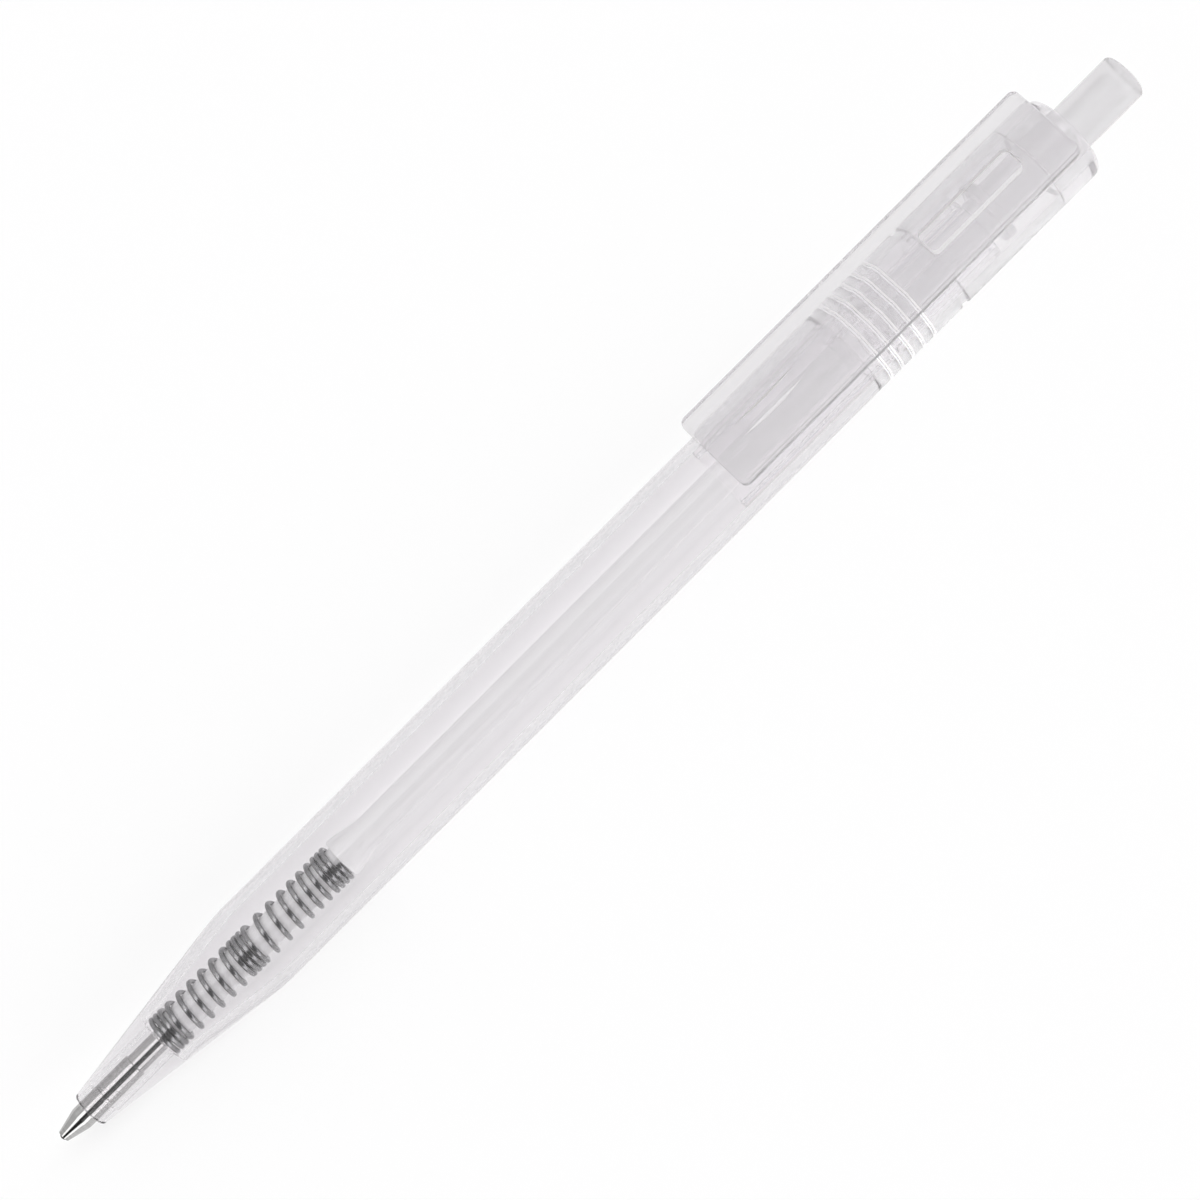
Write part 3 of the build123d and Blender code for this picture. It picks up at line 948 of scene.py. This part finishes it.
class PEN_OT_rotor(Operator):
    """Clear cam rotor on the refill's tail, with its cup, keys, toothed ring and centre pin"""

    bl_idname = "pen.make_rotor"
    bl_label = "Cam rotor"

    def execute(self, context):
        size = context.scene.pen_mechanism
        edge = context.scene.pen_barrel.edge
        start = span("cam_rotor")[0]
        floor = span("refill_tube")[1] + size.cup_gap
        body = turned("clear_rotor", rounded([
            (size.rib_start, 0, 0),
            (size.rib_start, size.plunger_radius, 0),
            (start, size.plunger_radius, edge),
            (start, size.cup_radius, edge),
            (floor, size.cup_radius, edge),
            (floor, 0, 0),
        ], closed=False))
        notches = ring_of(size.teeth, lambda angle: crown_notch(size.rib_start, -1, angle))
        combine(body, notches, "DIFFERENCE")
        pin_root, pin_end = floor + size.pin_root, size.rib_start + size.pin_length
        pin = turned("pin", rounded([
            (pin_end, 0, 0),
            (pin_end, size.pin_radius, edge * 2),
            (pin_root, size.pin_radius, 0),
            (pin_root, 0, 0),
        ], closed=False))
        last = size.rib_start - size.key_clearance
        first = last - size.rotor_key_length
        slope = size.cam_rise / (size.key_radius * math.sin(math.pi / size.keys))
        keys = ring_of(size.keys, lambda angle: key_block(first, last, slope * size.key_width, angle))
        combine(body, [pin, *keys], "UNION")
        dress(body, "cam_rotor", shared_material("moulded_inner", inner_plastic))
        return {"FINISHED"}


class PEN_OT_refill(Operator):
    """Milky refill tube and the ink in it"""

    bl_idname = "pen.make_refill"
    bl_label = "Refill tube and ink"

    def execute(self, context):
        size = context.scene.pen_refill
        edge = context.scene.pen_barrel.edge
        start, end, collar = span("refill_tube")
        bore = size.tube_radius - size.tube_wall
        land_end = size.collar_start + size.collar_land
        tube = turned("refill_tube_milky", rounded([
            (start, bore, edge / 2),
            (start, size.tube_radius, edge),
            (size.collar_start, size.tube_radius, edge),
            (size.collar_start, collar, edge),
            (land_end, collar, edge),
            (land_end + size.collar_taper, size.tube_radius, size.taper_round),
            (end, size.tube_radius, edge),
            (end, bore, edge / 2),
        ]))
        dress(tube, "refill_tube", milky_plastic())
        ink_start, ink_end, ink_radius = span("ink_column")
        dress(self.ink(size, ink_start, ink_end, ink_radius), "ink_column", ink_paste())
        return {"FINISHED"}

    def ink(self, size, start, end, radius):
        """Column whose rear surface is hollow: at radius r it lies in front of its rim by the meniscus times
        (1 - (r / radius) squared)."""
        r = radius - np.linspace(0, radius, INK_POINTS)
        hollow = size.meniscus * (1 - (r / radius) ** 2)
        surface = np.stack([end - hollow, r], axis=-1)
        return turned("ink_in_tube", np.vstack([[(start, 0), (start, radius)], surface]))


class PEN_OT_point(Operator):
    """Turned metal writing point and its ball"""

    bl_idname = "pen.make_point"
    bl_label = "Writing point and ball"

    def execute(self, context):
        size = context.scene.pen_refill
        edge = context.scene.pen_barrel.edge
        start, end, radius = span("tip_socket")
        ball_start, ball_end, ball_radius = span("writing_ball")
        centre = (ball_start + ball_end) / 2
        pocket = ball_radius + size.ball_gap
        lip = math.acos((centre - start) / pocket)
        back = math.pi - math.asin(size.channel / pocket)
        sweep = np.linspace(lip, back, SEAT_POINTS)
        seat = np.stack([centre - pocket * np.cos(sweep), pocket * np.sin(sweep)], axis=-1)
        groove = size.ring_groove
        outside = rounded([
            (start, seat[0, 1], 0),
            (start, pocket + size.lip_wall, edge / 3),
            (start + size.cone_length, radius, size.cone_round),
            (size.ring_station - groove, radius, 0),
            (size.ring_station, radius - groove, 0),
            (size.ring_station + groove, radius, 0),
            (size.step, radius, edge),
            (size.step, size.shank_radius, edge / 2),
            (end, size.shank_radius, edge),
            (end, size.channel, edge),
            (seat[-1, 0], size.channel, 0),
        ], closed=False)
        socket = turned("point_socket", np.vstack([outside, seat[::-1][1:-1]]))
        dress(socket, "tip_socket", turned_metal())
        angle = np.linspace(0, math.pi, BALL_POINTS)
        outline = np.stack([centre - ball_radius * np.cos(angle), ball_radius * np.sin(angle)], axis=-1)
        outline[[0, -1], 1] = 0
        dress(turned("ball_ground", outline), "writing_ball", ground_metal())
        return {"FINISHED"}


class PEN_OT_spring(Operator):
    """Steel return spring with its closed and open turns"""

    bl_idname = "pen.make_spring"
    bl_label = "Return spring"

    def execute(self, context):
        size = context.scene.pen_spring
        start, end, radius = span("return_spring")
        first, last = start + size.wire / 2, end - size.wire / 2
        turn, station = self.wind(size, last - first)
        coil = radius - size.wire / 2
        angle = size.phase - math.tau * turn
        centre = placed(first + station, coil * np.cos(angle), coil * np.sin(angle))
        spring = stacked("coiled_spring", self.wire_round(centre, size.wire / 2))
        dress(spring, "return_spring", drawn_metal(), other_body="refill")
        return {"FINISHED"}

    def wind(self, size, run):
        """Turns along the wire and how far each has gone along the pen: the pitch, which is close on dead
        turns and open between them, is summed from the front. The rear open turns start wide and close up
        evenly, and take what length is left."""
        runs = np.cumsum([size.front_dead, size.front_open, size.middle_dead, size.rear_open, size.rear_dead])
        dead = size.front_dead + size.middle_dead + size.rear_dead
        left = run - dead * size.dead_pitch - size.front_open * size.front_pitch
        rear = left / size.rear_open
        widest, closest = (1 + size.rear_lean) * rear, (1 - size.rear_lean) * rear
        changes = [
            (size.dead_pitch, size.front_pitch),
            (size.front_pitch, size.dead_pitch),
            (size.dead_pitch, widest),
            (closest, size.dead_pitch),
        ]
        turn = np.linspace(0, runs[-1], int(runs[-1] * WIRE_STEPS) + 1)
        knots = [0]
        pitches = [size.dead_pitch]
        for place, change in zip(runs, changes):
            knots += [place - size.ease, place + size.ease]
            pitches += change
        pitch = np.interp(turn, knots, pitches)
        steps = (pitch[1:] + pitch[:-1]) / 2 * np.diff(turn)
        station = np.concatenate([[0], np.cumsum(steps)])
        return turn, station * run / station[-1]

    def wire_round(self, centre, radius):
        """Rings of the wire: each is a circle square to the path, between the way out from the pen's axis and
        the way square to both."""
        along = np.gradient(centre, axis=0)
        along /= np.linalg.norm(along, axis=1, keepdims=True)
        out = centre - np.array([0, 0, AXIS_Z])
        out[:, 0] = 0
        out -= along * np.sum(out * along, axis=1, keepdims=True)
        out /= np.linalg.norm(out, axis=1, keepdims=True)
        side = np.cross(along, out)
        angle = np.linspace(0, math.tau, WIRE_SIDES, endpoint=False)[:, None]
        return centre[:, None] + radius * (np.cos(angle) * out[:, None] + np.sin(angle) * side[:, None])


class PEN_OT_stage(Operator):
    """Pale floor, soft light and the photograph's camera"""

    bl_idname = "pen.make_stage"
    bl_label = "Stage"

    def execute(self, context):
        scene = context.scene
        stage = scene.pen_stage
        self.floor(stage)
        self.sky(scene, stage)
        self.lamps(stage)
        self.camera(scene, stage)
        scene.view_settings.view_transform = "Standard"
        bounces = 256
        scene.cycles.max_bounces = bounces
        scene.cycles.transmission_bounces = bounces
        scene.cycles.glossy_bounces = bounces
        return {"FINISHED"}

    def floor(self, stage):
        """Flat floor just below the barrel."""
        half = 3.0
        drop = -0.02 * MM
        corners = [(-half, -half, drop), (half, -half, drop), (half, half, drop), (-half, half, drop)]
        mesh = bpy.data.meshes.new("floor")
        mesh.from_pydata(corners, [], [(0, 1, 2, 3)])
        floor = bpy.data.objects.new("floor", mesh)
        bpy.context.scene.collection.objects.link(floor)
        mesh.materials.append(self.floor_material(stage))

    def floor_material(self, stage):
        """Pale paper that takes the shadow; part of what is seen straight, mirrored or through plastic is
        plain white."""
        material, tree, shader = new_material("pale_paper")
        shader.inputs["Base Color"].default_value = (*stage.floor, 1)
        shader.inputs["Roughness"].default_value = 0.9
        shader.inputs["Specular IOR Level"].default_value = 0.0
        glow = tree.nodes.new("ShaderNodeEmission")
        path = tree.nodes.new("ShaderNodeLightPath").outputs
        seen = reckoned(tree, "MAXIMUM", path["Is Camera Ray"], path["Is Transmission Ray"])
        shown = reckoned(tree, "MAXIMUM", seen, path["Is Glossy Ray"])
        mix = tree.nodes.new("ShaderNodeMixShader")
        tree.links.new(reckoned(tree, "MULTIPLY", shown, stage.floor_glow), mix.inputs["Fac"])
        tree.links.new(shader.outputs["BSDF"], mix.inputs[1])
        tree.links.new(glow.outputs["Emission"], mix.inputs[2])
        tree.links.new(mix.outputs["Shader"], tree.nodes["Material Output"].inputs["Surface"])
        return material

    def sky(self, scene, stage):
        """Light tent round the pen: two bright strips along it, one on each side of the camera, a dark gap
        between them where the camera looks in, and a softer light past their ends and down to the horizon.
        The brightness follows the angle from straight up, counted about the pen's axis. Seen straight or
        through plastic, and not in a mirror, it is white."""
        world = bpy.data.worlds.new("light_tent")
        scene.world = world
        world.use_nodes = True
        tree = world.node_tree
        way = tree.nodes.new("ShaderNodeTexCoord")
        split = tree.nodes.new("ShaderNodeSeparateXYZ")
        tree.links.new(way.outputs["Generated"], split.inputs["Vector"])
        angle = reckoned(tree, "ARCTAN2", split.outputs["Y"], split.outputs["Z"])
        ramp = tree.nodes.new("ShaderNodeValToRGB")
        tree.links.new(ranged(tree, angle, -math.pi / 2, math.pi / 2), ramp.inputs["Fac"])
        self.strips(stage, ramp.color_ramp.elements)
        along = reckoned(tree, "ABSOLUTE", split.outputs["X"])
        past = ranged(tree, along, stage.strip_reach, stage.strip_reach + stage.fade)
        tent = greyed(tree, past, ramp.outputs["Color"], stage.sky_side)
        path = tree.nodes.new("ShaderNodeLightPath").outputs
        unmirrored = reckoned(tree, "LESS_THAN", path["Glossy Depth"], 1)
        through = reckoned(tree, "MULTIPLY", path["Is Transmission Ray"], unmirrored)
        plain = reckoned(tree, "MAXIMUM", path["Is Camera Ray"], through)
        tree.links.new(greyed(tree, plain, tent, 1), tree.nodes["Background"].inputs["Color"])

    def strips(self, stage, elements):
        """Gives a ramp from horizon to horizon its stops: the side's light, a strip, the gap, the other strip
        and the side again."""
        middle = -stage.tilt - stage.gap_lean
        near, far, fade = stage.gap / 2, stage.gap / 2 + stage.strip, stage.fade
        half = [
            (far + fade, stage.sky_side),
            (far, stage.sky_strip),
            (near, stage.sky_strip),
            (near - fade, stage.sky_gap),
        ]
        stops = [(-place, level) for place, level in half] + half[::-1]
        while len(elements) < len(stops):
            elements.new(0.5)
        for element, (place, level) in zip(elements, stops):
            element.position = (middle + place) / math.pi + 0.5
            element.color = (level, level, level, 1)

    def lamps(self, stage):
        """Two large soft lamps, one on each side of the pen."""
        away = 0.35
        for name, side in (("lamp_left", 1), ("lamp_right", -1)):
            light = bpy.data.lights.new(name, "AREA")
            light.shape = "RECTANGLE"
            light.size = 0.5
            light.size_y = 0.25
            light.energy = stage.lamp
            lamp = bpy.data.objects.new(name, light)
            lamp.location = (0, side * away, away)
            lamp.rotation_euler = (-lamp.location).to_track_quat("-Z", "Y").to_euler()
            bpy.context.scene.collection.objects.link(lamp)

    def camera(self, scene, stage):
        """Camera above the pen, tilted towards -Y, and turned so that the pen runs from lower left to upper
        right at 45 degrees."""
        data = bpy.data.cameras.new("camera")
        data.lens = stage.lens
        data.sensor_width = 36
        data.clip_start = 0.01
        camera = bpy.data.objects.new("camera", data)
        scene.collection.objects.link(camera)
        along = Vector((1, 0, 0))
        back = Vector((0, -math.sin(stage.tilt), math.cos(stage.tilt)))
        aside = back.cross(along)
        right = (along - aside) / math.sqrt(2)
        up = (along + aside) / math.sqrt(2)
        aim = Vector((stage.aim, 0, AXIS_Z))
        turn = Matrix((right, up, back)).transposed()
        camera.matrix_world = Matrix.Translation(aim + back * stage.distance) @ turn.to_4x4()
        scene.camera = camera


OPERATORS = (
    PEN_OT_barrel, PEN_OT_collar, PEN_OT_housing, PEN_OT_sleeve, PEN_OT_button, PEN_OT_rotor, PEN_OT_refill,
    PEN_OT_point, PEN_OT_spring, PEN_OT_stage)
SETTINGS = {
    "pen_barrel": PEN_PG_barrel,
    "pen_collar": PEN_PG_collar,
    "pen_housing": PEN_PG_housing,
    "pen_mechanism": PEN_PG_mechanism,
    "pen_refill": PEN_PG_refill,
    "pen_spring": PEN_PG_spring,
    "pen_finish": PEN_PG_finish,
    "pen_stage": PEN_PG_stage,
}


class PEN_PT_sidebar(Panel):
    """Pieces of the pen and their sizes"""

    bl_idname = "PEN_PT_sidebar"
    bl_label = "Clear push-button pen"
    bl_space_type = "VIEW_3D"
    bl_region_type = "UI"
    bl_category = "Pen"

    def draw(self, context):
        for operator in OPERATORS:
            self.layout.operator(operator.bl_idname)
        for name in SETTINGS:
            box = self.layout.box()
            settings = getattr(context.scene, name)
            for field in settings.__annotations__:
                box.prop(settings, field)


def register():
    """Adds the settings, the operators and the panel."""
    for group in SETTINGS.values():
        bpy.utils.register_class(group)
    for name, group in SETTINGS.items():
        setattr(bpy.types.Scene, name, PointerProperty(type=group))
    for operator in OPERATORS:
        bpy.utils.register_class(operator)
    bpy.utils.register_class(PEN_PT_sidebar)


def unregister():
    """Takes them away again."""
    bpy.utils.unregister_class(PEN_PT_sidebar)
    for operator in reversed(OPERATORS):
        bpy.utils.unregister_class(operator)
    for name, group in SETTINGS.items():
        delattr(bpy.types.Scene, name)
        bpy.utils.unregister_class(group)


def main():
    """Makes every piece and the stage."""
    register()
    for operator in OPERATORS:
        group, name = operator.bl_idname.split(".")
        getattr(getattr(bpy.ops, group), name)()


if __name__ == "__main__":
    main()
